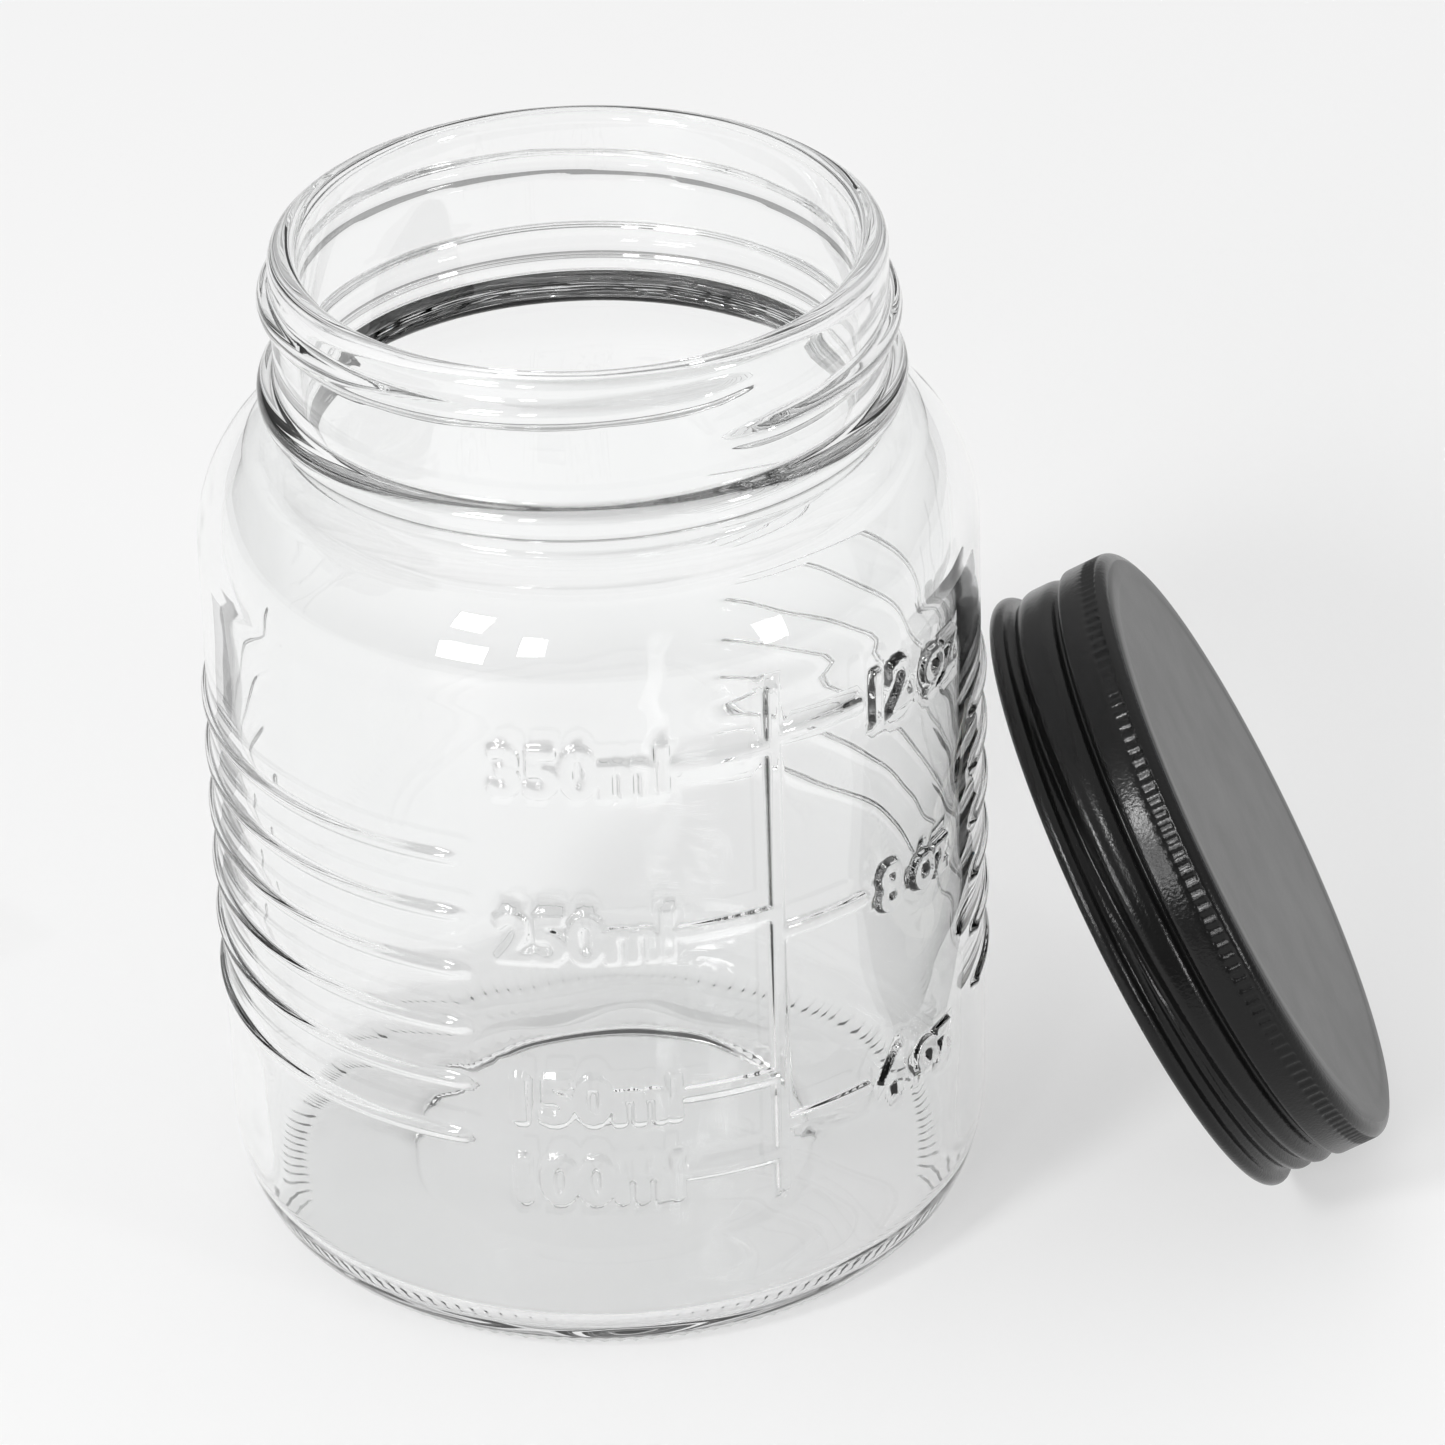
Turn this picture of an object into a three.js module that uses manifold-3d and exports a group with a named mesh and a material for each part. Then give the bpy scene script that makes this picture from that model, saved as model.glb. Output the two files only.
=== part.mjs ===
// A half-litre screw-top storage jar with its one-piece metal lid taken off and leaning on the jar.
// Millimetres, +Z up. The origin is the middle of the footprint, at table height.

import * as THREE from 'three';
import { mergeVertices } from 'three/addons/utils/BufferGeometryUtils.js';
import Module from 'manifold-3d';

const wasm = await Module();
wasm.setup();

// Driving sizes of the jar.
const JAR_HEIGHT = 117;
const BODY_RADIUS = 42.6;
const BODY_WALL = 2.95;
const FLOOR_THICKNESS = 3;
const FOOT_WIDTH = 2.4;
const PUSH_UP = 1.3;
const PUSH_UP_EDGE = 5.4;
const PUSH_UP_CROWN = 0.4;
const FLOOR_CROWN = 0.6;
const HEEL_INSET = 6;
const HEEL_HEIGHT = 12.4;
const INNER_HEEL_RADIUS = 5;

// The shoulder is a round arc that leaves the straight wall and meets the neck in a small slope.
const SHOULDER_RADIUS = 16;
const NECK_SLOPE = 1.88;
const NECK_LENGTH = 19.5;

// The neck's screw finish.
const NECK_RADIUS = 33.2;
const NECK_WALL = 3.2;
const LIP_ROUNDING = 1.1;
const INNER_LIP_ROUNDING = 0.66;
const BEAD_DROP = 15.1;
const BEAD_HEIGHT = 3.6;
const BEAD_DEPTH = 1.9;
const THREAD_PITCH = 6.35;
const THREAD_HEIGHT = 1.3;
const THREAD_WIDTH = 2.6;
const THREAD_START_DROP = 9.8;
const THREAD_START_ANGLE = 22;
const THREAD_TURN = 374;
const THREAD_RUN_OUT = 14;
const THREAD_CREST_SHARE = 0.35;
const THREAD_TIP_SHARE = 0.4;
const THREAD_TIP_HEIGHT = 0.05;

// Raised decoration and measuring marks on the body.
const PANEL_ANGLE = 25.5;
const PANEL_HALF_WIDTH = 46;
const RIB_COUNT = 6;
const RIB_HEIGHT = 2.4;
const RIB_DEPTH = 0.8;
const RIB_MARGIN_BELOW = 16.9;
const RIB_MARGIN_ABOVE = 16.3;
const MARK_DEPTH = 0.45;
const MARK_THICKNESS = 1;
const SCALE_LINE_MARGIN = 5.4;
const MILLILITRE = 1000;
const OUNCE_IN_MILLILITRES = 29.5735;
const MILLILITRE_MARKS = [100, 150, 250, 350];
const OUNCE_MARKS = [4, 8, 12];
const MARK_SPAN = 15;

// Driving sizes of the lid. Heights run from its open edge towards its top.
const LID_HEIGHT = 14.6;
const LID_SHEET = 0.5;
const LID_CLEARANCE = 0.3;
const LID_BAND_DROP = 5.7;
const LID_SHOULDER = 1.6;
const LID_SKIRT_STEP = 0.7;
const LID_THREAD_DEPTH = 1.1;
const LID_THREAD_WIDTH = 2.08;
const LID_THREAD_START = 3.6;
const LID_THREAD_TURN = 250;
const CURL_RADIUS = 1;
const CURL_OUTSET = 0.2;

// The bonded sealing ring under the lid's top, which the jar's lip presses into.
const LINER_THICKNESS = 0.9;
const LINER_OVERLAP = 1.6;
const SEAT_GAP = 0.3;

// How the lid leans: its open plane's tilt from the table.
const LID_LEAN = 63.2;

// Fineness of the round shapes.
const SEGMENTS = 56;
const THREAD_STEP = 10;
const SECTOR_STEP = 15;

const degrees = THREE.MathUtils.degToRad;

// Turns an angle round the jar, counted from -Y towards +X, into a direction.
function around(angle, radius, z = 0) {
  return new THREE.Vector3(radius * Math.sin(degrees(angle)), -radius * Math.cos(degrees(angle)), z);
}

// Points of an arc in the radius-height plane, without its first point.
function arc(centreR, centreZ, radiusR, radiusZ, from, to, steps) {
  const points = [];
  for (let i = 1; i <= steps; i++) {
    const angle = degrees(from + ((to - from) * i) / steps);
    points.push(new THREE.Vector2(centreR + radiusR * Math.cos(angle), centreZ + radiusZ * Math.sin(angle)));
  }
  return points;
}

// A body of revolution about +Z from radius-height points.
function revolve(points) {
  return new THREE.LatheGeometry(points, SEGMENTS).rotateX(Math.PI / 2);
}

function toSolid(geometry) {
  const bare = geometry.clone();
  bare.deleteAttribute('normal');
  bare.deleteAttribute('uv');
  const merged = mergeVertices(bare, 1e-4);
  const mesh = new wasm.Mesh({
    numProp: 3,
    vertProperties: new Float32Array(merged.attributes.position.array),
    triVerts: new Uint32Array(merged.index.array),
  });
  return new wasm.Manifold(mesh);
}

function toGeometry(solid) {
  const mesh = solid.getMesh();
  const geometry = new THREE.BufferGeometry();
  geometry.setAttribute('position', new THREE.BufferAttribute(new Float32Array(mesh.vertProperties), 3));
  geometry.setIndex(new THREE.BufferAttribute(new Uint32Array(mesh.triVerts), 1));
  return geometry;
}

// The jar's derived places. The shoulder's arc turns until only the slope is left to the neck.
const boreRadius = NECK_RADIUS - NECK_WALL;
const innerRadius = BODY_RADIUS - BODY_WALL;
const footRadius = BODY_RADIUS - HEEL_INSET;
const ringInner = footRadius - FOOT_WIDTH;
const shoulderInset = BODY_RADIUS - NECK_RADIUS - NECK_SLOPE;
const shoulderAngle = THREE.MathUtils.radToDeg(Math.acos(Math.max(0, 1 - shoulderInset / SHOULDER_RADIUS)));
const shoulderRise = SHOULDER_RADIUS * Math.sin(degrees(shoulderAngle));
const wallTop = JAR_HEIGHT - NECK_LENGTH - NECK_SLOPE - shoulderRise;
const wallBottom = HEEL_HEIGHT;
const beadZ = JAR_HEIGHT - BEAD_DROP;

// The lid's derived places: its skirt clears the jar's thread, and its band is a step wider.
const skirtInside = NECK_RADIUS + THREAD_HEIGHT + LID_CLEARANCE;
const skirtOutside = skirtInside + LID_SHEET;
const bandRadius = skirtOutside + LID_SKIRT_STEP;
const bandBottom = LID_HEIGHT - LID_BAND_DROP;
const curlCentre = bandRadius + CURL_OUTSET - CURL_RADIUS;

// The outside of the jar from the foot to the lip, pushed out by grow for raised shapes.
function outerProfile(grow) {
  const radius = BODY_RADIUS + grow;
  const shoulder = SHOULDER_RADIUS + grow;
  const neck = NECK_RADIUS;
  return [
    new THREE.Vector2(footRadius, 0),
    ...arc(footRadius, HEEL_HEIGHT, radius - footRadius, HEEL_HEIGHT, -90, 0, 7),
    new THREE.Vector2(radius, wallTop),
    ...arc(radius - shoulder, wallTop, shoulder, shoulder, 0, shoulderAngle, 7),
    new THREE.Vector2(neck, JAR_HEIGHT - NECK_LENGTH),
    new THREE.Vector2(neck, beadZ - BEAD_HEIGHT / 2),
    ...arc(neck, beadZ, BEAD_DEPTH, BEAD_HEIGHT / 2, -90, 90, 6),
    new THREE.Vector2(neck, JAR_HEIGHT - LIP_ROUNDING),
    ...arc(neck - LIP_ROUNDING, JAR_HEIGHT - LIP_ROUNDING, LIP_ROUNDING, LIP_ROUNDING, 0, 90, 3),
  ];
}

// The inside of the jar from the lip down to the middle of its floor.
function innerProfile() {
  const shoulder = SHOULDER_RADIUS - BODY_WALL;
  const floor = PUSH_UP + FLOOR_THICKNESS;
  const heelTop = FLOOR_THICKNESS + INNER_HEEL_RADIUS;
  const shoulderArc = arc(innerRadius - shoulder, wallTop, shoulder, shoulder, 0, shoulderAngle, 7);
  return [
    new THREE.Vector2(boreRadius + INNER_LIP_ROUNDING, JAR_HEIGHT),
    new THREE.Vector2(boreRadius, JAR_HEIGHT - INNER_LIP_ROUNDING),
    new THREE.Vector2(boreRadius, JAR_HEIGHT - NECK_LENGTH - BODY_WALL / 2),
    ...shoulderArc.reverse().filter((point) => point.x > boreRadius),
    new THREE.Vector2(innerRadius, wallTop),
    new THREE.Vector2(innerRadius, heelTop),
    ...arc(innerRadius - INNER_HEEL_RADIUS, heelTop, INNER_HEEL_RADIUS, INNER_HEEL_RADIUS, 0, -90, 6),
    new THREE.Vector2(ringInner - PUSH_UP_EDGE, floor - FLOOR_CROWN),
    new THREE.Vector2(0, floor),
  ];
}

// The underside: a flat ring to stand on and a shallow push-up inside it.
function undersideProfile() {
  return [
    new THREE.Vector2(0, PUSH_UP),
    new THREE.Vector2(ringInner - PUSH_UP_EDGE, PUSH_UP - PUSH_UP_CROWN),
    new THREE.Vector2(ringInner - PUSH_UP, PUSH_UP / 2),
    new THREE.Vector2(ringInner, 0),
  ];
}

// Height of the liquid that holds a volume, found by filling the inside in thin slices.
function heightOfVolume(millilitres) {
  const profile = innerProfile().reverse();
  let filled = 0;
  for (let i = 1; i < profile.length; i++) {
    const low = profile[i - 1];
    const high = profile[i];
    const cone = (Math.PI / 3) * (high.y - low.y) * (low.x ** 2 + low.x * high.x + high.x ** 2);
    const slice = cone / MILLILITRE;
    if (filled + slice >= millilitres) {
      return low.y + ((high.y - low.y) * (millilitres - filled)) / slice;
    }
    filled += slice;
  }
  return JAR_HEIGHT;
}

// A wedge-shaped sector of a ring between two angles and two heights.
function sector(fromAngle, toAngle, lowZ, highZ) {
  const inner = innerRadius + BODY_WALL / 2;
  const outer = BODY_RADIUS + BODY_WALL;
  const steps = Math.max(1, Math.ceil((toAngle - fromAngle) / SECTOR_STEP));
  const rim = [];
  const hub = [];
  for (let i = 0; i <= steps; i++) {
    const angle = fromAngle + ((toAngle - fromAngle) * i) / steps;
    rim.push(around(angle, outer));
    hub.unshift(around(angle, inner));
  }
  const shape = new THREE.Shape([...rim, ...hub].map((point) => new THREE.Vector2(point.x, point.y)));
  const geometry = new THREE.ExtrudeGeometry(shape, { depth: highZ - lowZ, bevelEnabled: false });
  return toSolid(geometry.translate(0, 0, lowZ));
}

// A ridge with sloping sides that climbs a helix and fades in and out at its ends.
function helixRidge({ radius, height, width, pitch, startZ, startAngle, turn, runOut, inward }) {
  const steps = Math.round(turn / THREAD_STEP);
  const vertices = [];
  const triangles = [];
  const root = inward ? radius + LID_SHEET / 2 : radius - NECK_WALL / 3;
  for (let i = 0; i <= steps; i++) {
    const travel = (turn * i) / steps;
    const fade = Math.min(1, travel / runOut, (turn - travel) / runOut);
    const rise = THREAD_TIP_HEIGHT + fade * height;
    const crest = inward ? radius - rise : radius + rise;
    const half = (width / 2) * THREE.MathUtils.lerp(THREAD_TIP_SHARE, 1, fade);
    const flat = half * THREAD_CREST_SHARE;
    const z = startZ + (pitch * travel) / 360;
    const section = [[root, -half], [crest, -flat], [crest, flat], [root, half]];
    for (const [r, dz] of section) {
      vertices.push(...around(startAngle + travel, r, z + dz).toArray());
    }
  }
  const side = (a, b, c, d) => triangles.push(...(inward ? [a, c, b, b, c, d] : [a, b, c, b, d, c]));
  for (let i = 0; i < steps; i++) {
    for (let k = 0; k < 4; k++) {
      const next = (k + 1) % 4;
      side(4 * i + k, 4 * i + 4 + k, 4 * i + next, 4 * i + 4 + next);
    }
  }
  const end = 4 * steps;
  const caps = [0, 1, 2, 0, 2, 3, end, end + 2, end + 1, end, end + 3, end + 2];
  for (let i = 0; i < caps.length; i += 3) {
    const [a, b, c] = caps.slice(i, i + 3);
    triangles.push(...(inward ? [a, c, b] : [a, b, c]));
  }
  const geometry = new THREE.BufferGeometry();
  geometry.setAttribute('position', new THREE.Float32BufferAttribute(vertices, 3));
  geometry.setIndex(triangles);
  return toSolid(geometry);
}

// The two groups of level ribs, left and right of the measuring panel.
function ribSectors() {
  const low = wallBottom + RIB_MARGIN_BELOW;
  const pitch = (wallTop - RIB_MARGIN_ABOVE - low) / (RIB_COUNT - 1);
  const sectors = [];
  for (const middle of [PANEL_ANGLE - 90, PANEL_ANGLE + 90]) {
    const half = 90 - PANEL_HALF_WIDTH;
    for (let i = 0; i < RIB_COUNT; i++) {
      const z = low + pitch * i;
      sectors.push(sector(middle - half, middle + half, z - RIB_HEIGHT / 2, z + RIB_HEIGHT / 2));
    }
  }
  return sectors;
}

// The upright scale line with millilitre marks on its left and ounce marks on its right.
function markSectors() {
  const lineHalf = THREE.MathUtils.radToDeg(MARK_THICKNESS / 2 / BODY_RADIUS);
  const line = PANEL_ANGLE;
  const millilitreHeights = MILLILITRE_MARKS.map(heightOfVolume);
  const ounceHeights = OUNCE_MARKS.map((ounces) => heightOfVolume(ounces * OUNCE_IN_MILLILITRES));
  const heights = [...millilitreHeights, ...ounceHeights];
  const low = Math.min(...heights) - SCALE_LINE_MARGIN;
  const high = Math.max(...heights) + SCALE_LINE_MARGIN;
  const half = MARK_THICKNESS / 2;
  return [
    sector(line - lineHalf, line + lineHalf, low, high),
    ...millilitreHeights.map((z) => sector(line - MARK_SPAN, line, z - half, z + half)),
    ...ounceHeights.map((z) => sector(line, line + MARK_SPAN, z - half, z + half)),
  ];
}

// Raises the outside of the body by depth wherever a sector covers it.
function raise(solid, sectors, depth) {
  const mouth = new THREE.Vector2(0, JAR_HEIGHT);
  const skin = toSolid(revolve([...undersideProfile(), ...outerProfile(depth), mouth]));
  return sectors.reduce((body, wedge) => body.add(skin.intersect(wedge)), solid);
}

function glassJar() {
  const profile = [...undersideProfile(), ...outerProfile(0), ...innerProfile()];
  const thread = helixRidge({
    radius: NECK_RADIUS,
    height: THREAD_HEIGHT,
    width: THREAD_WIDTH,
    pitch: THREAD_PITCH,
    startZ: JAR_HEIGHT - THREAD_START_DROP,
    startAngle: THREAD_START_ANGLE,
    turn: THREAD_TURN,
    runOut: THREAD_RUN_OUT,
    inward: false,
  });
  const body = toSolid(revolve(profile)).add(thread);
  const ribbed = raise(body, ribSectors(), RIB_DEPTH);
  return toGeometry(raise(ribbed, markSectors(), MARK_DEPTH));
}

// The lid's outside from the middle of its top down to its curled edge.
function lidOutside() {
  return [
    new THREE.Vector2(0, LID_HEIGHT),
    new THREE.Vector2(bandRadius - LID_SHOULDER, LID_HEIGHT),
    ...arc(bandRadius - LID_SHOULDER, LID_HEIGHT - LID_SHOULDER, LID_SHOULDER, LID_SHOULDER, 90, 0, 3),
    new THREE.Vector2(bandRadius, bandBottom),
    new THREE.Vector2(skirtOutside, bandBottom - LID_SKIRT_STEP),
    new THREE.Vector2(skirtOutside, 2 * CURL_RADIUS),
  ];
}

// The curl rolls outwards and back under the skirt.
function lidCurl() {
  return arc(curlCentre, CURL_RADIUS, CURL_RADIUS, CURL_RADIUS, 70, -160, 8);
}

function lidInside() {
  const band = bandRadius - LID_SHEET;
  const top = LID_HEIGHT - LID_SHEET;
  return [
    new THREE.Vector2(skirtInside, 2 * CURL_RADIUS),
    new THREE.Vector2(skirtInside, bandBottom - LID_SKIRT_STEP),
    new THREE.Vector2(band, bandBottom),
    new THREE.Vector2(band, LID_HEIGHT - LID_SHOULDER),
    new THREE.Vector2(bandRadius - LID_SHOULDER, top),
    new THREE.Vector2(0, top),
  ];
}

function screwLid() {
  const shell = toSolid(revolve([...lidOutside(), ...lidCurl(), ...lidInside()].reverse()));
  const thread = helixRidge({
    radius: skirtInside,
    height: LID_THREAD_DEPTH,
    width: LID_THREAD_WIDTH,
    pitch: THREAD_PITCH,
    startZ: LID_THREAD_START,
    startAngle: 0,
    turn: LID_THREAD_TURN,
    runOut: THREAD_RUN_OUT,
    inward: true,
  });
  return toGeometry(shell.add(thread));
}

// The sealing ring lies under the lid's top, wider on both sides than the lip that meets it.
function lidLiner() {
  const outer = bandRadius - LID_SHOULDER - SEAT_GAP;
  const inner = boreRadius - LINER_OVERLAP;
  const top = LID_HEIGHT - LID_SHEET - SEAT_GAP;
  const low = top - LINER_THICKNESS;
  const corners = [[inner, low], [outer, low], [outer, top], [inner, top], [inner, low]];
  return revolve(corners.map(([r, z]) => new THREE.Vector2(r, z)));
}

function piece(name, geometry, colour, roughness, metalness) {
  const material = new THREE.MeshStandardMaterial({ color: colour, roughness, metalness });
  const mesh = new THREE.Mesh(geometry, material);
  mesh.name = name;
  return mesh;
}

// The lid stands on its curl beside the jar and leans back until the curl meets the wall.
function leaningLid(pieces) {
  const lean = degrees(LID_LEAN);
  const group = new THREE.Group();
  group.add(...pieces);
  group.rotation.y = lean;
  const ringX = BODY_RADIUS + RIB_DEPTH + SEAT_GAP + CURL_RADIUS + curlCentre * Math.cos(lean);
  const ringZ = CURL_RADIUS + curlCentre * Math.sin(lean);
  group.position.set(ringX - CURL_RADIUS * Math.sin(lean), 0, ringZ - CURL_RADIUS * Math.cos(lean));
  return group;
}

const jar = piece('glass_jar', glassJar(), 0xe9edec, 0.05, 0);
const lid = leaningLid([
  piece('screw_lid', screwLid(), 0x17181a, 0.35, 0.2),
  piece('lid_liner', lidLiner(), 0xd9d6cc, 0.6, 0),
]);

// Everything is moved so that the footprint's middle is the origin.
const part = new THREE.Group();
part.add(jar, lid);
part.updateMatrixWorld(true);
const box = new THREE.Box3().setFromObject(part, true);
part.position.x = -(box.min.x + box.max.x) / 2;

export default part;
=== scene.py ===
# A half-litre screw-top glass jar with its black one-piece metal lid off and leaning on it.
import math

import bpy
from mathutils import Matrix, Vector
from mathutils.bvhtree import BVHTree


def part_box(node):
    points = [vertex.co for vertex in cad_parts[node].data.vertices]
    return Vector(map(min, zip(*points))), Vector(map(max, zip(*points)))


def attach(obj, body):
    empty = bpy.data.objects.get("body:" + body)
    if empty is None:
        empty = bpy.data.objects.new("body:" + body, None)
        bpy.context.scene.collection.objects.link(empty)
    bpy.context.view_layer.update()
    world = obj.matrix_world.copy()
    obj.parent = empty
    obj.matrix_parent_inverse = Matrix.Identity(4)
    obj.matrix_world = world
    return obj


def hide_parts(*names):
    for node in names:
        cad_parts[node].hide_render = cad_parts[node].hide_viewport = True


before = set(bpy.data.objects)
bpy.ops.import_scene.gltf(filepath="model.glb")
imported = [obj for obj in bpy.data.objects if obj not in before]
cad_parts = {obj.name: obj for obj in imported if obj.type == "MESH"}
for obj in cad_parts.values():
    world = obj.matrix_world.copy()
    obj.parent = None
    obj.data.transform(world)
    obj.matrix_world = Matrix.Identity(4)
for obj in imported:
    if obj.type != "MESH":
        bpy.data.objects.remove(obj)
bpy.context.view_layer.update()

MM = 0.001

# The jar, in millimetres. Radii are from its axis, heights from the table, angles in degrees.
JAR_HEIGHT = 117.0
BODY_RADIUS = 42.6
BODY_WALL = 2.95
INNER_RADIUS = BODY_RADIUS - BODY_WALL
FOOT_RADIUS = 36.6
STANDING_RING = (34.6, 36.2)
HEEL_HEIGHT = 12.4
SHOULDER_RADIUS = 16.0
SHOULDER_ANGLE = 62
INNER_SHOULDER_ANGLE = 54
WALL_TOP = 82.05
NECK_RADIUS = 33.2
BORE_RADIUS = 30.0
NECK_FOOT = 97.1
BORE_FOOT = 94.5
LIP_ROUNDING = 1.5
INNER_LIP_ROUNDING = 1.3
BEAD_HEIGHT = 100.7
BEAD_BELOW = 2.5
BEAD_ABOVE = 1.8
BEAD_DEPTH = 1.9
BEAD_FILLET = 0.5
PUSH_UP = 1.3
PUSH_UP_STEP = 0.25
PUSH_UP_STEP_RADIUS = 22.4
FLOOR_EDGE = 3.0
FLOOR_TOP = 4.3
INNER_HEEL = 5.0
JAR_SEGMENTS = 276
TOOTH_DEPTH = 0.3
TOOTH_START, TOOTH_END = 35.4, 39.6

# The neck's screw thread, one start, right hand. Angles run from the front (-Y) towards +X.
THREAD_PITCH = 6.35
THREAD_DEPTH = 1.35
THREAD_HALF = 1.6
THREAD_START = 22
THREAD_START_HEIGHT = 107.2
THREAD_ZONE = (104.6, JAR_HEIGHT - LIP_ROUNDING)
THREAD_TURN = 374
THREAD_RUN_OUT = 16

# Ribs and measuring marks on the wall.
PANEL_ANGLE = 25.5
RIB_HEIGHTS = [29.3 + 6.98 * i for i in range(6)]
RIB_SPAN = 87
RIB_HALF = 0.75
RIB_DEPTH = 0.6
MARK_BASE = 4.4
MARK_STEP = 0.204
MARK_DEPTH = 0.6
MARK_HALF = 0.4
MARK_FADE = 0.4
WORD_SWELL = 0.28
LINE_SWELL = 0.2
MARK_SPAN = 15
MARK_LINE = (20.6, 82.4)
OUNCE = 29.5735
TEXT_HEIGHT = 5.5

# The words of the two scales: the amount, the word's two ends round the wall, and its lift above the mark.
MILLILITRE_WORDS = [(350, -15.3, 9.4, 0), (250, -15.3, 9.4, 0), (150, -13.6, 9.8, 0), (100, -13.6, 9.8, 0)]
OUNCE_WORDS = [(8, 43.9, 60.5, 0), (4, 43.9, 60.5, 0.4), (12, 43.5, 64.3, 0.1)]

# The part of the wall that holds words and marks, how far round them its faces are finer, and a distance
# that stands for none nearby.
MARKED_ANGLES = (-20, 70)
MARKED_HEIGHTS = (18, 85)
MARK_NEAR = 1.1
FAR = 99.0

# The lid, in millimetres. Heights run from its open edge to its top.
LID_HEIGHT = 14.6
LID_SHEET = 0.5
BAND_RADIUS = 36.0
SKIRT_RADIUS = 35.7
STEP_RADIUS = 34.8
BAND_BOTTOM = 8.9
LID_SHOULDER = 1.6
LID_DISH = 0.12
LID_FACE_RADIUS = 31.6
LID_THREAD_START = 2.5
LID_THREAD_RANGE = (180, 485)
LID_THREAD_PITCH = THREAD_PITCH * 1.05
LID_THREAD_DEPTH = 0.8
LID_THREAD_SWELL = 0.2
LID_THREAD_RUN_OUT = 40
CURL_RADIUS = 1.0
CURL_CENTRE = 35.2
SKIRT_FOOT = 4.6
LID_LEAN = 63.2
LID_GAP = 0.3
RIB_SEAT = 0.8
KNURLS = 150
KNURL_DEPTH = 0.26
KNURL_LOW, KNURL_HIGH = 11.4, 13.4
LID_SEGMENTS = 2 * KNURLS

# The sealing ring under the lid's top, in millimetres.
LINER_THICKNESS = 0.9
LINER_OVERLAP = 1.6
LIP_DENT = 0.55

# The room's light: the sky's strength, its share low down and towards the viewer, and the windows as
# azimuth from the front towards +X, elevation, width, height and power.
SKY_STRENGTH = 0.9
SKY_LOW = 0.35
SKY_FRONT = 0.45
WINDOW_DISTANCE = 2.0
WINDOWS = {
    "window_left": (-38, 16, 0.5, 0.4, 14),
    "window_left_high": (-40, 38, 0.3, 0.4, 20),
    "window_left_inner": (-20, 25, 0.2, 0.5, 7),
    "window_right": (52, 14, 0.25, 0.5, 9),
}

# The grey card behind the jar's left side, in metres beside the jar's axis and in degrees.
CARD_SIZE = (0.085, 0.03)
CARD_PLACE = (-0.104, 0.076, 0.0008)
CARD_TURN = 130

# The camera's lens in millimetres, its place beside the jar's axis, and the way it points.
LENS, SENSOR = 192.04, 36
CAMERA_Y, CAMERA_Z = -0.73563, 0.48596
CAMERA_FORWARD = Vector((0.016357, 0.863393, -0.504266))
CAMERA_RIGHT = Vector((0.999097, -0.033888, -0.025615))
CAMERA_UP = Vector((0.039204, 0.503392, 0.863168))

JAR_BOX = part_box("glass_jar")
AXIS_X = (JAR_BOX[0].x + JAR_BOX[1].x) / 2


def deselect():
    bpy.ops.object.select_all(action="DESELECT")


def smoothstep(t):
    t = max(0.0, min(1.0, t))
    return t * t * (3 - 2 * t)


def arc(centre, radii, start, end, steps):
    """Points of an arc in the radius-height plane, without its first point."""
    points = []
    for i in range(1, steps + 1):
        angle = math.radians(start + (end - start) * i / steps)
        points.append((centre[0] + radii[0] * math.cos(angle), centre[1] + radii[1] * math.sin(angle)))
    return points


def line(start, end, steps):
    """Evenly spaced points from start to end, without start."""
    return [tuple(a + (b - a) * i / steps for a, b in zip(start, end)) for i in range(1, steps + 1)]


def curve(start, handle, end, steps):
    """A curve from start to end that bends towards its handle, without start."""
    points = []
    for i in range(1, steps + 1):
        t = i / steps
        weights = ((1 - t) ** 2, 2 * t * (1 - t), t * t)
        points.append(tuple(sum(w * p[k] for w, p in zip(weights, (start, handle, end))) for k in (0, 1)))
    return points


def spun(name, outline, segments):
    """Draws an outline vertex by vertex and spins it once round the Z axis."""
    deselect()
    r, z = outline[0]
    bpy.ops.mesh.primitive_plane_add(size=MM, location=(0, 0, 0))
    piece = bpy.context.object
    piece.name = name
    piece.data.name = name
    bpy.ops.object.mode_set(mode="EDIT")
    bpy.ops.mesh.select_mode(type="VERT")
    bpy.ops.mesh.merge(type="CENTER")
    bpy.ops.transform.translate(value=(r * MM, 0, z * MM))
    for (r0, z0), (r1, z1) in zip(outline, outline[1:]):
        step = ((r1 - r0) * MM, 0, (z1 - z0) * MM)
        bpy.ops.mesh.extrude_vertices_move(TRANSFORM_OT_translate={"value": step})
    bpy.ops.mesh.select_all(action="SELECT")
    bpy.ops.mesh.spin(steps=segments, angle=2 * math.pi, center=(0, 0, 0), axis=(0, 0, 1))
    bpy.ops.mesh.select_all(action="SELECT")
    bpy.ops.mesh.remove_doubles(threshold=0.00001)
    bpy.ops.mesh.normals_make_consistent(inside=False)
    bpy.ops.object.mode_set(mode="OBJECT")
    return piece


def refine(piece, wanted, cuts):
    """Subdivides the faces whose middle answers to wanted(angle, radius, height, normal)."""
    bpy.context.view_layer.objects.active = piece
    bpy.ops.object.mode_set(mode="EDIT")
    bpy.ops.mesh.select_mode(type="FACE")
    bpy.ops.mesh.select_all(action="DESELECT")
    bpy.ops.object.mode_set(mode="OBJECT")
    for face in piece.data.polygons:
        c = face.center
        angle = math.degrees(math.atan2(c.x, -c.y))
        face.select = wanted(angle, math.hypot(c.x, c.y) / MM, c.z / MM, face.normal)
    bpy.ops.object.mode_set(mode="EDIT")
    bpy.ops.mesh.subdivide(number_cuts=cuts, ngon=True, quadcorner="INNERVERT")
    bpy.ops.object.mode_set(mode="OBJECT")


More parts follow.
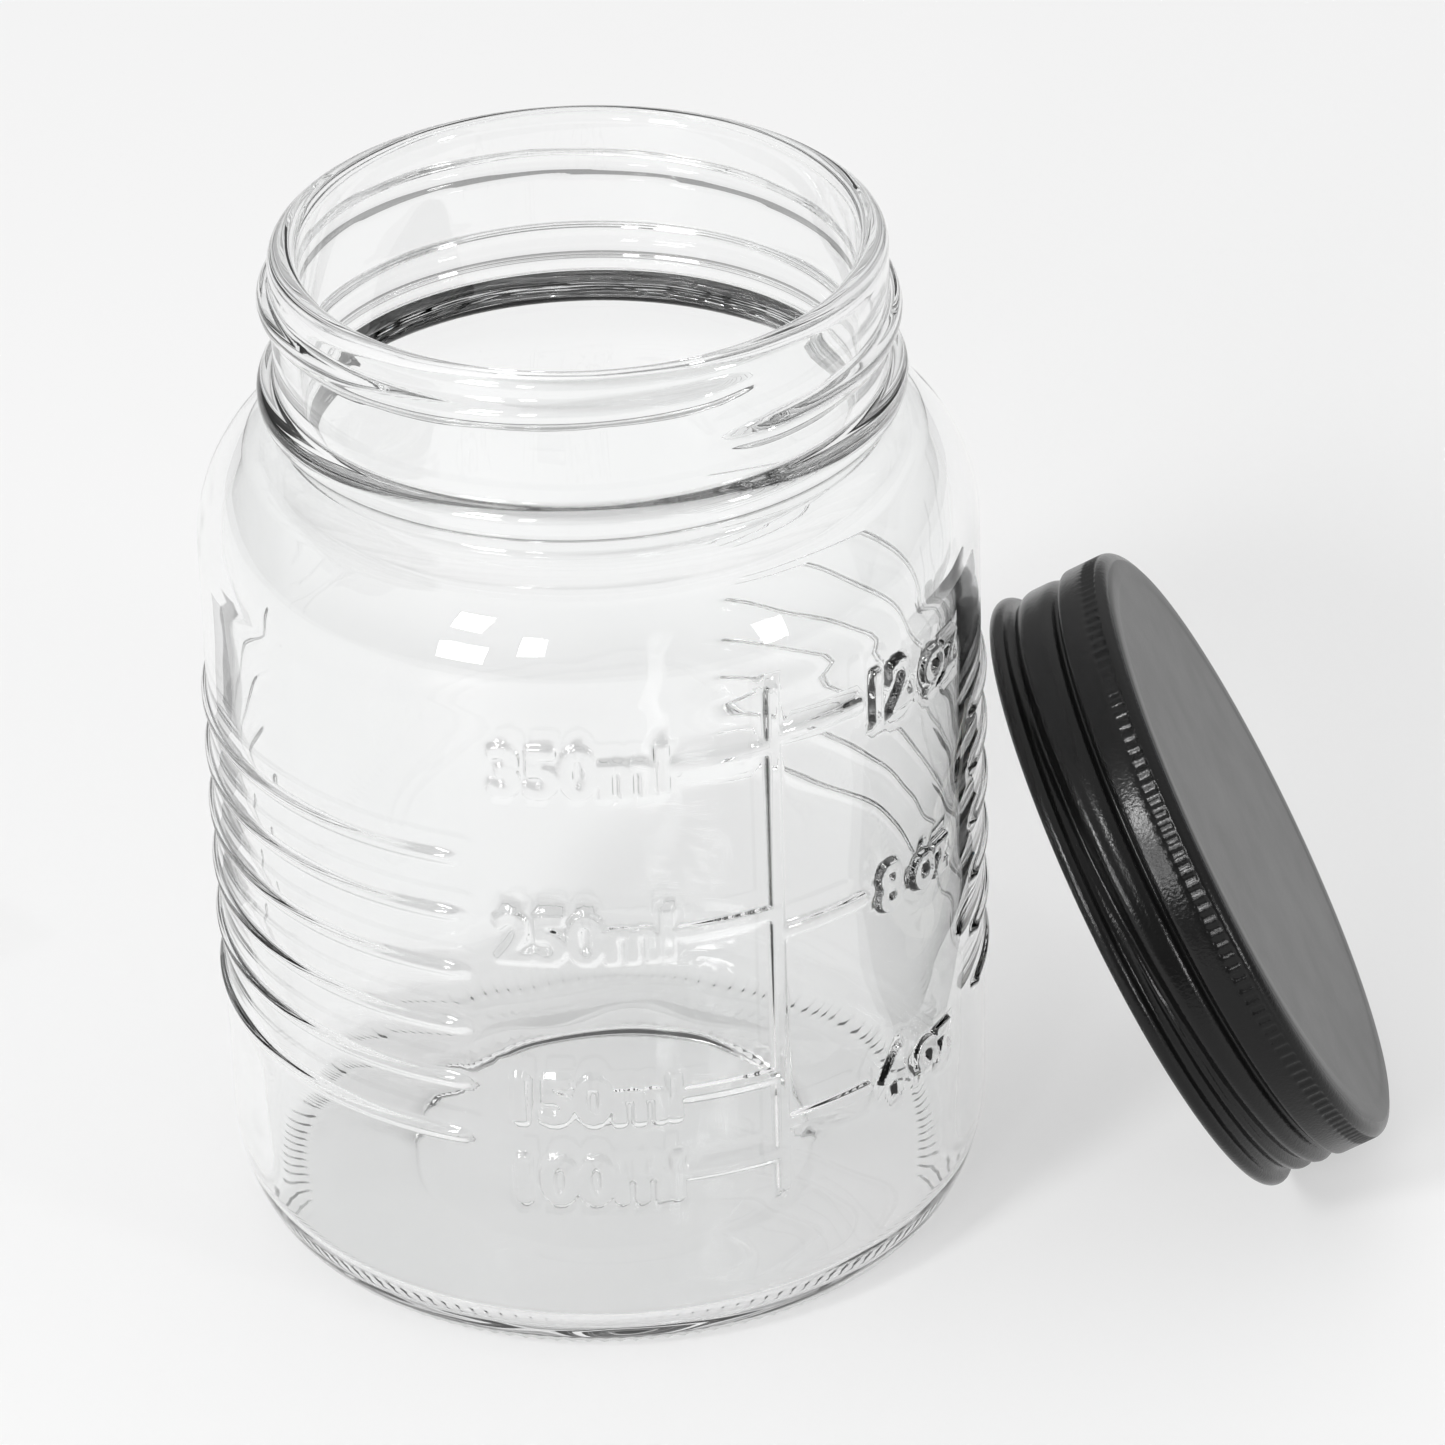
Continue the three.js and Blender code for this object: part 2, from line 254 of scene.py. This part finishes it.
def place(piece, matrix):
    """Moves a finished mesh to its place, so that its object stays at the origin."""
    piece.data.transform(matrix)
    piece.data.update()
    deselect()
    piece.select_set(True)
    bpy.context.view_layer.objects.active = piece
    bpy.ops.object.shade_smooth()
    return piece


# ---------------------------------------------------------------- the jar's outline

def underside_outline():
    """From the middle of the push-up, over its shallow step, out to the standing ring."""
    step, outside = PUSH_UP_STEP_RADIUS, PUSH_UP - PUSH_UP_STEP
    ring_start, ring_end = STANDING_RING
    return [
        (0.0, PUSH_UP),
        *line((0.0, PUSH_UP), (step - 0.6, PUSH_UP), 4),
        *curve((step - 0.6, PUSH_UP), (step, PUSH_UP), (step + 0.5, outside), 5),
        *curve((step + 0.5, outside), (31.5, 0.05), (ring_start, 0.0), 8),
        *line((ring_start, 0.0), (ring_end, 0.0), 2),
    ]


def wall_rows():
    """Heights of the wall's rows: close together on the ribs and even between them."""
    across = (-1.3, -0.95, -0.65, -0.33, 0.0, 0.33, 0.65, 0.95, 1.3)
    rows = [HEEL_HEIGHT + 1.5 * i for i in range(1, 10)]
    for z in RIB_HEIGHTS:
        rows += [z + step for step in across]
        rows += [z + 2.9, z + 4.1]
    top = rows[-1]
    rows += [top + (WALL_TOP - top) * i / 10 for i in range(1, 11)]
    return rows


def bead_outline():
    """The bead under the thread, fuller below than above, with a small fillet on both sides."""
    low, high = BEAD_HEIGHT - BEAD_BELOW, BEAD_HEIGHT + BEAD_ABOVE
    middle = (NECK_RADIUS, BEAD_HEIGHT)
    fillet = NECK_RADIUS + BEAD_FILLET
    return [
        *line((NECK_RADIUS, NECK_FOOT), (NECK_RADIUS, low - 0.3), 1),
        *curve((NECK_RADIUS, low - 0.3), (NECK_RADIUS, low), (fillet, low + 0.12), 3),
        *arc(middle, (BEAD_DEPTH, BEAD_BELOW), -70, 0, 7),
        *arc(middle, (BEAD_DEPTH, BEAD_ABOVE), 0, 68, 6),
        *curve((fillet, high - 0.12), (NECK_RADIUS, high), (NECK_RADIUS, high + 0.4), 3),
    ]


def jar_outline():
    """The whole outline, from under the floor round the lip to the floor's top."""
    heel = (FOOT_RADIUS, HEEL_HEIGHT)
    heel_radii = (BODY_RADIUS - FOOT_RADIUS, HEEL_HEIGHT)
    shoulder = (BODY_RADIUS - SHOULDER_RADIUS, WALL_TOP)
    outer_arc = arc(shoulder, (SHOULDER_RADIUS,) * 2, 0, SHOULDER_ANGLE, 14)
    inner_arc = arc(shoulder, (SHOULDER_RADIUS - BODY_WALL,) * 2, INNER_SHOULDER_ANGLE, 0, 12)
    thread_low, lip = THREAD_ZONE
    inner_lip = (BORE_RADIUS + INNER_LIP_ROUNDING, JAR_HEIGHT - INNER_LIP_ROUNDING)
    inner_heel = (INNER_RADIUS - INNER_HEEL, FLOOR_EDGE + INNER_HEEL)
    return [
        *underside_outline(),
        *arc(heel, heel_radii, -90, -68, 6),
        *arc(heel, heel_radii, -68, 0, 9),
        *[(BODY_RADIUS, z) for z in wall_rows()],
        *outer_arc,
        *curve(outer_arc[-1], (NECK_RADIUS, NECK_FOOT - 0.5), (NECK_RADIUS, NECK_FOOT), 5),
        *bead_outline(),
        *line((NECK_RADIUS, BEAD_HEIGHT + BEAD_ABOVE + 0.4), (NECK_RADIUS, thread_low), 1),
        *line((NECK_RADIUS, thread_low), (NECK_RADIUS, lip), 28),
        *arc((NECK_RADIUS - LIP_ROUNDING, lip), (LIP_ROUNDING,) * 2, 0, 90, 8),
        *line((NECK_RADIUS - LIP_ROUNDING, JAR_HEIGHT), (inner_lip[0], JAR_HEIGHT), 1),
        *arc(inner_lip, (INNER_LIP_ROUNDING,) * 2, 90, 180, 7),
        *line((BORE_RADIUS, inner_lip[1]), (BORE_RADIUS, BORE_FOOT), 6),
        *curve((BORE_RADIUS, BORE_FOOT), (BORE_RADIUS + 0.1, BORE_FOOT - 1.5), inner_arc[0], 7),
        *inner_arc[1:],
        *line((INNER_RADIUS, WALL_TOP), (INNER_RADIUS, inner_heel[1]), 6),
        *arc(inner_heel, (INNER_HEEL,) * 2, 0, -90, 12),
        *curve((inner_heel[0], FLOOR_EDGE), (18.0, FLOOR_EDGE + 0.1), (0.0, FLOOR_TOP), 9),
    ]


# ---------------------------------------------------------------- raised shapes on the glass

def mark_height(millilitres):
    return MARK_BASE + MARK_STEP * millilitres


def label_mesh(text, start, end, height):
    """A flat word, in millimetres along the wall and up, between two angles."""
    deselect()
    bpy.ops.object.text_add()
    word = bpy.context.object
    word.data.body = text
    word.data.resolution_u = 6
    bpy.ops.object.convert(target="MESH")
    word = bpy.context.object
    word_start = min(v.co.x for v in word.data.vertices)
    word_end = max(v.co.x for v in word.data.vertices)
    wide = math.radians(end - start) * BODY_RADIUS / (word_end - word_start)
    tall = TEXT_HEIGHT / max(v.co.y for v in word.data.vertices)
    left = math.radians(start) * BODY_RADIUS
    low = height - TEXT_HEIGHT / 2
    flat = [Vector((left + (v.co.x - word_start) * wide, low + v.co.y * tall, 0)) for v in word.data.vertices]
    faces = [tuple(p.vertices) for p in word.data.polygons]
    bpy.data.objects.remove(word)
    return flat, faces


def labels():
    """All the words of the two scales as one flat search tree, in millimetres."""
    words = [(f"{ml}ml", start, end, mark_height(ml) + lift) for ml, start, end, lift in MILLILITRE_WORDS]
    for ounces, start, end, lift in OUNCE_WORDS:
        words.append((f"{ounces} oz", start, end, mark_height(ounces * OUNCE) + lift))
    points, faces = [], []
    for word in words:
        flat, polygons = label_mesh(*word)
        faces += [tuple(i + len(points) for i in p) for p in polygons]
        points += flat
    return BVHTree.FromPolygons(points, faces)


def strokes():
    """The scale's upright line and its short level marks, each as two end points in millimetres."""
    upright = math.radians(PANEL_ANGLE) * BODY_RADIUS
    tick = math.radians(MARK_SPAN) * BODY_RADIUS
    lines = [((upright, MARK_LINE[0]), (upright, MARK_LINE[1]))]
    for word in MILLILITRE_WORDS:
        z = mark_height(word[0])
        lines.append(((upright - tick, z), (upright, z)))
    for word in OUNCE_WORDS:
        z = mark_height(word[0] * OUNCE)
        lines.append(((upright, z), (upright + tick, z)))
    return lines


def stroke_distance(x, z, lines):
    """How far a point of the unrolled wall is from the nearest of the lines."""
    nearest = FAR
    for (x0, z0), (x1, z1) in lines:
        dx = max(x0 - x, 0.0, x - x1)
        dz = max(z0 - z, 0.0, z - z1)
        nearest = min(nearest, math.hypot(dx, dz))
    return nearest


class Relief:
    """How far the glass stands out of the plain wall at a place."""

    def __init__(self):
        self.words = labels()
        self.lines = strokes()

    def mark_distance(self, angle, height):
        """Distance in millimetres to the nearest word or line of the scale."""
        if not MARKED_ANGLES[0] < angle < MARKED_ANGLES[1]:
            return FAR
        if not MARKED_HEIGHTS[0] < height < MARKED_HEIGHTS[1]:
            return FAR
        x = math.radians(angle) * BODY_RADIUS
        near = stroke_distance(x, height, self.lines) - LINE_SWELL
        word = self.words.find_nearest((x, height, 0.0), 6.0)[3]
        return near if word is None else min(near, word + MARK_HALF - WORD_SWELL)

    def mark(self, angle, height):
        inside = MARK_HALF + MARK_FADE - self.mark_distance(angle, height)
        return MARK_DEPTH * smoothstep(inside / MARK_FADE)

    @staticmethod
    def rib(angle, height):
        """Six level ribs with round ends on each side of the measuring panel."""
        if not RIB_HEIGHTS[0] - 2 < height < RIB_HEIGHTS[-1] + 2:
            return 0.0
        side = abs(abs((angle - PANEL_ANGLE + 180) % 360 - 180) - 90)
        beyond = max(0.0, math.radians(side - RIB_SPAN / 2) * BODY_RADIUS + RIB_HALF)
        nearest = min(abs(height - z) for z in RIB_HEIGHTS)
        t = math.hypot(nearest, beyond) / (RIB_HALF + 0.3)
        return RIB_DEPTH * math.cos(t * math.pi / 2) ** 1.3 if t < 1 else 0.0

    @staticmethod
    def thread(angle, height):
        """The screw ridge, which fades in and out over its ends."""
        best = 0.0
        for turn in (0, 1):
            travel = (angle - THREAD_START) % 360 + 360 * turn
            if travel > THREAD_TURN:
                continue
            crest = THREAD_START_HEIGHT + THREAD_PITCH * travel / 360
            fade = smoothstep(min(travel, THREAD_TURN - travel) / THREAD_RUN_OUT)
            t = abs(height - crest) / (THREAD_HALF * (0.55 + 0.45 * fade))
            if t < 1:
                best = max(best, THREAD_DEPTH * fade * (1 - t * t) ** 0.75)
        return best

    @staticmethod
    def tooth(angle):
        """Small radial teeth round the standing ring."""
        return 0.5 - 0.5 * math.cos(math.radians(angle) * JAR_SEGMENTS / 2)


def glass_jar():
    piece = spun("glass_jar_moulded", jar_outline(), JAR_SEGMENTS)
    relief = Relief()

    def near_marks(angle, radius, height, normal):
        outer = radius > BODY_RADIUS - 0.5 and normal.x * math.sin(math.radians(angle)) - normal.y > 0
        return outer and relief.mark_distance(angle, height) < MARK_NEAR

    def on_ring(angle, radius, height, normal):
        return height < 1.6 and TOOTH_START - 0.4 < radius < TOOTH_END and normal.z < -0.2

    refine(piece, near_marks, 3)
    refine(piece, on_ring, 1)
    for v in piece.data.vertices:
        x, y, z = v.co / MM
        radius = math.hypot(x, y)
        if radius < 1:
            continue
        angle = math.degrees(math.atan2(x, -y))
        out = 0.0
        if HEEL_HEIGHT < z < WALL_TOP + 3 and radius > BODY_RADIUS - 0.6:
            flatten = BODY_RADIUS - radius if z <= WALL_TOP else 0.0
            out = flatten + max(relief.rib(angle, z), relief.mark(angle, z))
        elif THREAD_ZONE[0] - 0.6 < z < THREAD_ZONE[1] + 0.5 and radius > NECK_RADIUS - 0.4:
            out = relief.thread(angle, z)
        elif z < 1.7 and TOOTH_START < radius < TOOTH_END:
            share = smoothstep((radius - TOOTH_START) / 0.8) * smoothstep((TOOTH_END - radius) / 0.8)
            v.co.z += TOOTH_DEPTH * share * relief.tooth(angle) * MM
        if out:
            scale = (radius + out) / radius
            v.co.x *= scale
            v.co.y *= scale
    return place(piece, Matrix.Translation((AXIS_X, 0, 0)))


# ---------------------------------------------------------------- the lid

def lid_groove(angle, height):
    """The thread rolled into the skirt, sharp below and softly bulged above."""
    depth = 0.0
    first, last = LID_THREAD_RANGE
    for turn in (0, 1):
        travel = angle % 360 + 360 * turn
        if not first < travel < last:
            continue
        crest = LID_THREAD_START + LID_THREAD_PITCH * (travel - first) / 360
        fade = smoothstep(min(travel - first, last - travel) / LID_THREAD_RUN_OUT)
        d = height - crest
        dip = smoothstep(1 - abs(d) / (0.75 if d < 0 else 1.2))
        swell = smoothstep(1 - abs(d - 1.6) / 1.1)
        depth += fade * (LID_THREAD_DEPTH * dip - LID_THREAD_SWELL * swell)
    return depth


def lid_outline():
    """From the middle of the top over the shoulder, the band, the skirt and the curl, and back inside."""
    face, dished = LID_HEIGHT, LID_HEIGHT - LID_DISH
    shoulder = (BAND_RADIUS - LID_SHOULDER, LID_HEIGHT - LID_SHOULDER)
    knurl_top = KNURL_HIGH - 0.2
    notch = BAND_BOTTOM - 0.7
    notch_edge = STEP_RADIUS + 0.2
    skirt_inside = STEP_RADIUS - LID_SHEET
    band_inside = BAND_RADIUS - LID_SHEET
    under = LID_HEIGHT - LID_SHEET
    inner_shoulder = (band_inside - 1.4, 12.6)
    return [
        (0.0, dished),
        *line((0.0, dished), (LID_FACE_RADIUS, dished), 8),
        *curve((LID_FACE_RADIUS, dished), (LID_FACE_RADIUS + 0.8, dished), (LID_FACE_RADIUS + 1.2, face), 4),
        *line((LID_FACE_RADIUS + 1.2, face), (shoulder[0], face), 2),
        *arc(shoulder, (LID_SHOULDER, LID_SHOULDER * 0.9), 90, 8, 9),
        *line((BAND_RADIUS, knurl_top), (BAND_RADIUS, KNURL_LOW), 6),
        *line((BAND_RADIUS, KNURL_LOW), (BAND_RADIUS, BAND_BOTTOM + 0.2), 4),
        *curve((BAND_RADIUS, BAND_BOTTOM + 0.2), (BAND_RADIUS, notch + 0.3), (notch_edge, notch + 0.3), 5),
        *curve((notch_edge, notch + 0.3), (STEP_RADIUS - 0.2, notch), (notch_edge, notch - 0.4), 4),
        *curve((notch_edge, notch - 0.4), (SKIRT_RADIUS, notch - 0.9), (SKIRT_RADIUS, notch - 2.0), 6),
        *line((SKIRT_RADIUS, notch - 2.0), (SKIRT_RADIUS, SKIRT_FOOT), 6),
        *curve((SKIRT_RADIUS, SKIRT_FOOT), (SKIRT_RADIUS, 3.6), (notch_edge, 3.1), 6),
        *curve((notch_edge, 3.1), (STEP_RADIUS - 0.1, 2.7), (CURL_CENTRE - 0.1, 2.0), 4),
        *arc((CURL_CENTRE, CURL_RADIUS), (CURL_RADIUS,) * 2, 80, -160, 14),
        *line((skirt_inside - 0.1, 0.8), (skirt_inside, 2.0), 2),
        *line((skirt_inside, 2.0), (skirt_inside, BAND_BOTTOM - 1.0), 14),
        *curve((skirt_inside, BAND_BOTTOM - 1.0), (band_inside, BAND_BOTTOM - 0.4),
               (band_inside, BAND_BOTTOM + 0.4), 4),
        *line((band_inside, BAND_BOTTOM + 0.4), (band_inside, inner_shoulder[1]), 3),
        *arc(inner_shoulder, (1.4, under - inner_shoulder[1]), 0, 90, 6),
        *line((inner_shoulder[0], under), (0.0, under - 0.1), 8),
    ]


def lid_place():
    """Where the lid leans: its curl on the table and against the ribs."""
    lean = math.radians(LID_LEAN)
    jar_side = BODY_RADIUS + RIB_SEAT + LID_GAP
    across = jar_side + CURL_RADIUS + CURL_CENTRE * math.cos(lean)
    up = CURL_RADIUS + CURL_CENTRE * math.sin(lean)
    middle = Vector((across, 0, up)) - CURL_RADIUS * Vector((math.sin(lean), 0, math.cos(lean)))
    return Matrix.Translation(Vector((AXIS_X, 0, 0)) + middle * MM) @ Matrix.Rotation(lean, 4, "Y")


def screw_lid():
    piece = spun("screw_lid_pressed", lid_outline(), LID_SEGMENTS)

    def on_knurls(angle, radius, height, normal):
        return KNURL_LOW - 0.1 < height < KNURL_HIGH and radius > BAND_RADIUS - 0.3

    refine(piece, on_knurls, 1)
    for v in piece.data.vertices:
        x, y, z = v.co / MM
        radius = math.hypot(x, y)
        if radius < 30:
            continue
        turn = math.degrees(math.atan2(y, x))
        out = 0.0
        if 2.1 < z < BAND_BOTTOM:
            out -= lid_groove(turn, z)
        elif KNURL_LOW < z < KNURL_HIGH and radius > BAND_RADIUS - 0.3:
            share = smoothstep((z - KNURL_LOW) / 0.35) * smoothstep((KNURL_HIGH - z) / 0.35)
            out -= KNURL_DEPTH * share * (0.5 - 0.5 * math.cos(math.radians(turn) * KNURLS))
        scale = (radius + out) / radius
        v.co.x *= scale
        v.co.y *= scale
    return place(piece, lid_place())


def lid_liner():
    """The sealing ring, with the round dent that the jar's lip leaves in it."""
    top = LID_HEIGHT - LID_SHEET - LID_GAP
    low = top - LINER_THICKNESS
    inner, outer = BORE_RADIUS - LINER_OVERLAP, BAND_RADIUS - LID_SHOULDER - LID_GAP
    dent = (BORE_RADIUS + NECK_RADIUS) / 2
    outline = [
        (inner, top - 0.3),
        *arc((inner + 0.4, low + 0.4), (0.4, 0.4), 180, 270, 5),
        *line((inner + 0.4, low), (dent - 1.7, low), 2),
        *curve((dent - 1.7, low), (dent, low + LIP_DENT), (dent + 1.7, low), 10),
        *line((dent + 1.7, low), (outer - 0.4, low), 2),
        *arc((outer - 0.4, low + 0.4), (0.4, 0.4), -90, 0, 5),
        *line((outer, low + 0.4), (outer, top - 0.3), 1),
        *arc((outer - 0.3, top - 0.3), (0.3, 0.3), 0, 90, 3),
        *line((outer - 0.3, top), (inner + 0.3, top), 4),
        *arc((inner + 0.3, top - 0.3), (0.3, 0.3), 90, 180, 3),
    ]
    return place(spun("lid_liner_ring", outline, 180), lid_place())


# ---------------------------------------------------------------- finishes

class Finish:
    """A material with its main shader and short ways to add nodes."""

    def __init__(self, name, **values):
        self.material = bpy.data.materials.new(name)
        self.material.use_nodes = True
        self.tree = self.material.node_tree
        self.shader = self.tree.nodes["Principled BSDF"]
        for key, value in values.items():
            self.shader.inputs[key.replace("_", " ")].default_value = value
        self.coords = self.tree.nodes.new("ShaderNodeTexCoord").outputs["Object"]

    def link(self, a, b):
        self.tree.links.new(a, b)

    def noise(self, scale, detail=3.0, roughness=0.5):
        node = self.tree.nodes.new("ShaderNodeTexNoise")
        node.inputs["Scale"].default_value = scale
        node.inputs["Detail"].default_value = detail
        node.inputs["Roughness"].default_value = roughness
        self.link(self.coords, node.inputs["Vector"])
        return node.outputs["Fac"]

    def colours(self, source, low, high, first, last):
        """A smooth change from the colour first at low to last at high."""
        node = self.tree.nodes.new("ShaderNodeValToRGB")
        start, end = node.color_ramp.elements
        start.position, start.color = low, (*first, 1)
        end.position, end.color = high, (*last, 1)
        self.link(source, node.inputs["Fac"])
        return node.outputs["Color"]

    def values(self, source, low, high, first, last):
        """A smooth change from the value first at low to last at high."""
        node = self.tree.nodes.new("ShaderNodeMapRange")
        node.interpolation_type = "SMOOTHSTEP"
        for key, value in (("From Min", low), ("From Max", high), ("To Min", first), ("To Max", last)):
            node.inputs[key].default_value = value
        self.link(source, node.inputs["Value"])
        return node.outputs["Result"]

    def bump(self, height, distance):
        node = self.tree.nodes.new("ShaderNodeBump")
        node.inputs["Distance"].default_value = distance
        self.link(height, node.inputs["Height"])
        return node.outputs["Normal"]

    def on(self, piece):
        piece.data.materials.clear()
        piece.data.materials.append(self.material)


def clear_glass():
    """Bright flint glass with the faint ripple of a mould and a little rubbing."""
    finish = Finish("clear_glass", Transmission_Weight=1.0, IOR=1.5)
    cloud = finish.noise(22.0)
    tint = finish.colours(cloud, 0.3, 0.7, (0.985, 0.992, 0.99), (1.0, 1.0, 1.0))
    finish.link(tint, finish.shader.inputs["Base Color"])
    rubbing = finish.noise(420.0, 6.0)
    finish.link(finish.values(rubbing, 0.58, 0.8, 0.0, 0.05), finish.shader.inputs["Roughness"])
    ripple = finish.bump(finish.noise(55.0, 1.0), 0.0004)
    finish.link(ripple, finish.shader.inputs["Normal"])
    return finish


def black_lacquer(name, tone, shine, low, high):
    """Baked lacquer of a dark tone with fine orange peel, its roughness smeared between low and high."""
    finish = Finish(name, Specular_IOR_Level=shine)
    cloud = finish.noise(60.0, 5.0)
    colour = finish.colours(cloud, 0.25, 0.75, (tone,) * 3, (1.6 * tone,) * 3)
    finish.link(colour, finish.shader.inputs["Base Color"])
    smear = finish.noise(140.0, 6.0, 0.6)
    finish.link(finish.values(smear, 0.3, 0.75, low, high), finish.shader.inputs["Roughness"])
    peel = finish.bump(finish.noise(2600.0, 2.0), 0.00004)
    finish.link(peel, finish.shader.inputs["Normal"])
    return finish


def matte_top_and_painted_sheen(lid, finish):
    """The flat top's face is sprayed matte, out to the start of its shoulder. Its lighter tone is partly a
    painted sheen, standing in for the grazing reflection of the bright room.
    """
    lid.data.materials.append(finish.material)
    out = lid_place().to_3x3() @ Vector((0, 0, 1))
    start = lid_place().translation
    for face in lid.data.polygons:
        if face.normal.dot(out) > 0.5 and (face.center - start).dot(out) > (LID_HEIGHT - 0.2) * MM:
            face.material_index = 1


def sealing_compound():
    """Off-white rubbery compound, slightly uneven where it was flowed in."""
    finish = Finish("sealing_compound", Specular_IOR_Level=0.4, Subsurface_Weight=0.1)
    cloud = finish.noise(90.0, 4.0)
    colour = finish.colours(cloud, 0.3, 0.7, (0.74, 0.71, 0.64), (0.82, 0.80, 0.74))
    finish.link(colour, finish.shader.inputs["Base Color"])
    finish.link(finish.values(finish.noise(300.0), 0.3, 0.7, 0.45, 0.62), finish.shader.inputs["Roughness"])
    finish.link(finish.bump(finish.noise(700.0, 3.0), 0.00006), finish.shader.inputs["Normal"])
    return finish


# ---------------------------------------------------------------- studio

def camera():
    data = bpy.data.cameras.new("camera")
    data.sensor_width = SENSOR
    data.lens = LENS
    data.clip_start = 0.05
    data.clip_end = 50
    turn = Matrix((CAMERA_RIGHT, CAMERA_UP, -CAMERA_FORWARD)).transposed().to_4x4()
    view = bpy.data.objects.new("camera", data)
    view.matrix_world = Matrix.Translation((AXIS_X, CAMERA_Y, CAMERA_Z)) @ turn
    bpy.context.scene.collection.objects.link(view)
    bpy.context.scene.camera = view


def table():
    deselect()
    bpy.ops.mesh.primitive_plane_add(size=12, location=(0, 0, -0.00005))
    floor = bpy.context.object
    floor.name = "table"
    finish = Finish("table_top", Roughness=0.6, Emission_Strength=0.5)
    finish.shader.inputs["Base Color"].default_value = (0.34, 0.34, 0.34, 1)
    finish.shader.inputs["Emission Color"].default_value = (1, 1, 1, 1)
    finish.on(floor)


def sky():
    """A bright room, darker low down and towards the viewer's side."""
    world = bpy.data.worlds.new("room")
    bpy.context.scene.world = world
    world.use_nodes = True
    tree = world.node_tree
    coords = tree.nodes.new("ShaderNodeTexCoord").outputs["Generated"]
    split = tree.nodes.new("ShaderNodeSeparateXYZ")
    tree.links.new(coords, split.inputs[0])
    shares = []
    for axis, start, end, least in (("Z", 0.0, 0.8, SKY_LOW), ("Y", -0.85, -0.15, SKY_FRONT)):
        share = tree.nodes.new("ShaderNodeMapRange")
        share.interpolation_type = "SMOOTHSTEP"
        for key, value in (("From Min", start), ("From Max", end), ("To Min", least), ("To Max", 1.0)):
            share.inputs[key].default_value = value
        tree.links.new(split.outputs[axis], share.inputs["Value"])
        shares.append(share.outputs["Result"])
    both = tree.nodes.new("ShaderNodeMath")
    both.operation = "MULTIPLY"
    tree.links.new(shares[0], both.inputs[0])
    tree.links.new(shares[1], both.inputs[1])
    tree.links.new(both.outputs["Value"], tree.nodes["Background"].inputs["Color"])
    tree.nodes["Background"].inputs["Strength"].default_value = SKY_STRENGTH


def dark_card():
    """A grey card on the table, which only shows as a soft dark band at the glass's edge."""
    bpy.ops.mesh.primitive_plane_add(size=1, location=(0, 0, 0))
    card = bpy.context.object
    card.name = "dark_card"
    turn = Matrix.Rotation(math.radians(CARD_TURN), 4, "Z") @ Matrix.Diagonal((*CARD_SIZE, 1.0, 1.0))
    card.data.transform(Matrix.Translation(Vector((AXIS_X, 0, 0)) + Vector(CARD_PLACE)) @ turn)
    finish = Finish("card_grey", Roughness=1.0)
    finish.shader.inputs["Base Color"].default_value = (0.3, 0.3, 0.3, 1)
    finish.on(card)
    card.visible_camera = False
    card.visible_shadow = False
    card.visible_diffuse = False


def window(name, azimuth, elevation, width, height, power):
    """A soft rectangular light that faces the jar's shoulder."""
    a, e = math.radians(azimuth), math.radians(elevation)
    out = Vector((math.sin(a) * math.cos(e), -math.cos(a) * math.cos(e), math.sin(e)))
    data = bpy.data.lights.new(name, "AREA")
    data.shape = "RECTANGLE"
    data.size = width
    data.size_y = height
    data.energy = power
    light = bpy.data.objects.new(name, data)
    light.location = Vector((AXIS_X, 0, 0.09)) + out * WINDOW_DISTANCE
    light.rotation_euler = out.to_track_quat("Z", "Y").to_euler()
    bpy.context.scene.collection.objects.link(light)


def studio():
    table()
    sky()
    dark_card()
    for name, values in WINDOWS.items():
        window(name, *values)
    scene = bpy.context.scene
    scene.view_settings.view_transform = "Standard"
    scene.cycles.use_denoising = True
    scene.cycles.max_bounces = 24
    scene.cycles.transmission_bounces = 20
    scene.cycles.glossy_bounces = 12


camera()
studio()

jar = glass_jar()
clear_glass().on(jar)
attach(jar, "jar")
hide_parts("glass_jar")

lid = screw_lid()
black_lacquer("satin_lacquer", tone=0.003, shine=0.24, low=0.2, high=0.27).on(lid)
# The top's matte finish is real, but its tone, far lighter than the skirt's, is partly a painted sheen of the
# bright room.
matte_top_and_painted_sheen(lid, black_lacquer("matte_lacquer_and_painted_sheen", tone=0.045, shine=0.7, low=0.40, high=0.44))
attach(lid, "lid")
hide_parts("screw_lid")

liner = lid_liner()
sealing_compound().on(liner)
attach(liner, "lid")
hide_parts("lid_liner")

deselect()
